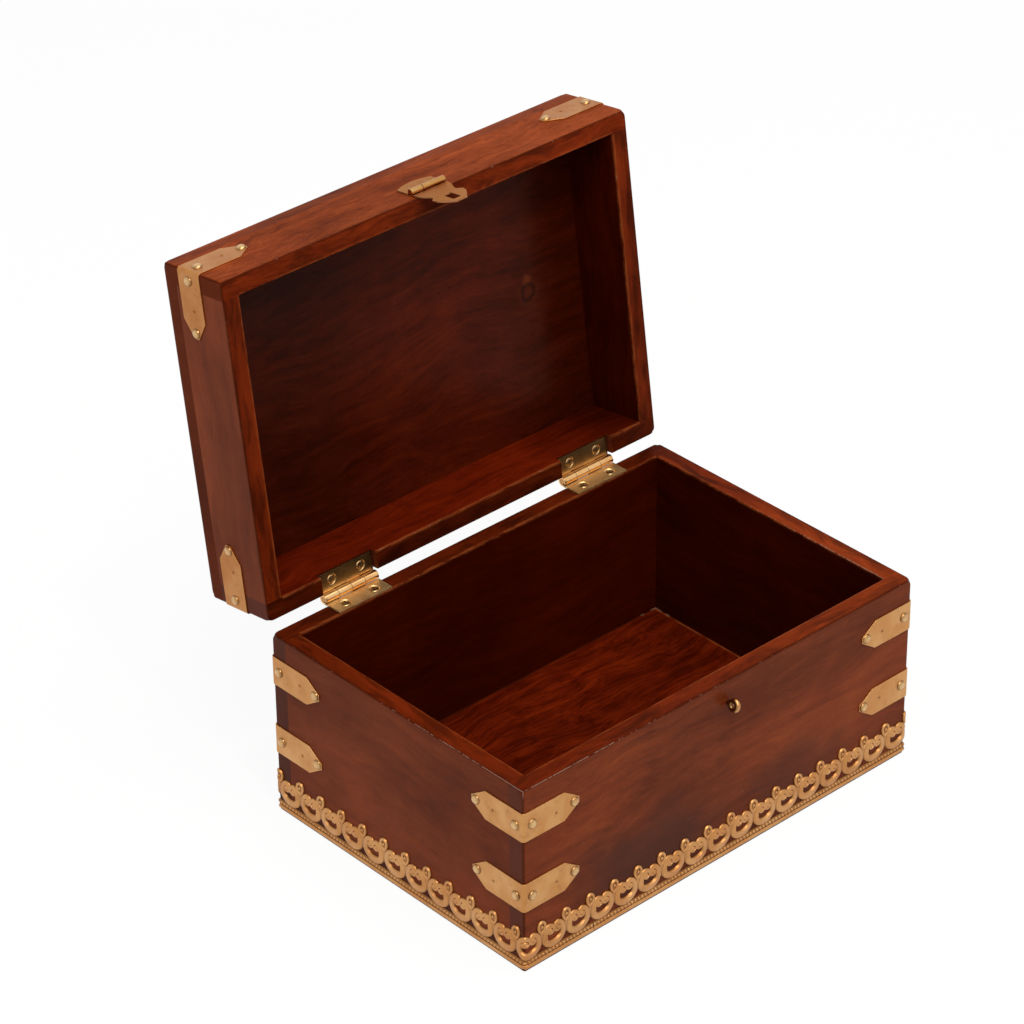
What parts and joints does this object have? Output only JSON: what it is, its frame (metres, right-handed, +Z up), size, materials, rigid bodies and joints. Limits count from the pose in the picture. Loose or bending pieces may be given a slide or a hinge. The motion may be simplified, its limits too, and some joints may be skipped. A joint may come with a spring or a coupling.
{
  "type": "jewellery box",
  "caption": "Rectangular varnished wooden jewellery box with an open hinged lid, brass corner straps, a pierced brass base trim, and a hasp that drops over an eye.",
  "frame": {"origin": "middle of the base panel's underside, on the surface that the box stands on", "axes": "+Z up, X along the box's length with the left end at -X, and the front face towards -Y"},
  "size_m": [0.2538, 0.247, 0.2792],
  "materials": {
    "varnished_wood": "gloss varnish",
    "sheet_brass": "satin, aged",
    "turned_brass": "satin",
    "screw_brass": "dull, aged"
  },
  "bodies": {
    "box": {"base_panel": "varnished_wood", "front_board": "varnished_wood", "back_board": "varnished_wood", "left_board": "varnished_wood", "right_board": "varnished_wood", "left_hinge_box_leaf": "sheet_brass", "right_hinge_box_leaf": "sheet_brass", "left_hinge_pin": "turned_brass", "right_hinge_pin": "turned_brass", "left_hinge_box_screw_1": "screw_brass", "left_hinge_box_screw_2": "screw_brass", "right_hinge_box_screw_1": "screw_brass", "right_hinge_box_screw_2": "screw_brass", "upper_strap_front_left": "sheet_brass", "upper_strap_front_right": "sheet_brass", "upper_strap_back_left": "sheet_brass", "upper_strap_back_right": "sheet_brass", "lower_strap_front_left": "sheet_brass", "lower_strap_front_right": "sheet_brass", "lower_strap_back_left": "sheet_brass", "lower_strap_back_right": "sheet_brass", "screw_eye": "turned_brass", "base_trim": "sheet_brass"},
    "lid": {"lid_top_panel": "varnished_wood", "lid_front_rail": "varnished_wood", "lid_back_rail": "varnished_wood", "lid_left_rail": "varnished_wood", "lid_right_rail": "varnished_wood", "left_hinge_lid_leaf": "sheet_brass", "right_hinge_lid_leaf": "sheet_brass", "left_hinge_lid_screw_1": "screw_brass", "left_hinge_lid_screw_2": "screw_brass", "right_hinge_lid_screw_1": "screw_brass", "right_hinge_lid_screw_2": "screw_brass", "lid_strap_front_left": "sheet_brass", "lid_strap_front_right": "sheet_brass", "lid_strap_back_left": "sheet_brass", "lid_strap_back_right": "sheet_brass", "hasp_plate": "sheet_brass", "hasp_pin": "turned_brass", "hasp_plate_brad_1": "turned_brass", "hasp_plate_brad_2": "turned_brass"},
    "hasp": {"hasp_leaf": "sheet_brass"}
  },
  "joints": [
    {"name": "lid_hinge", "type": "hinge", "parent": "box", "child": "lid", "pos_m": [0, 0.08885, 0.102], "axis": [1, 0, 0], "range_deg": [0, 97.8]},
    {"name": "hasp_hinge", "type": "hinge", "parent": "lid", "child": "hasp", "pos_m": [0.0025, 0.11601, 0.27668], "axis": [-1, 0, 0], "range_deg": [0, 175]}
  ]
}
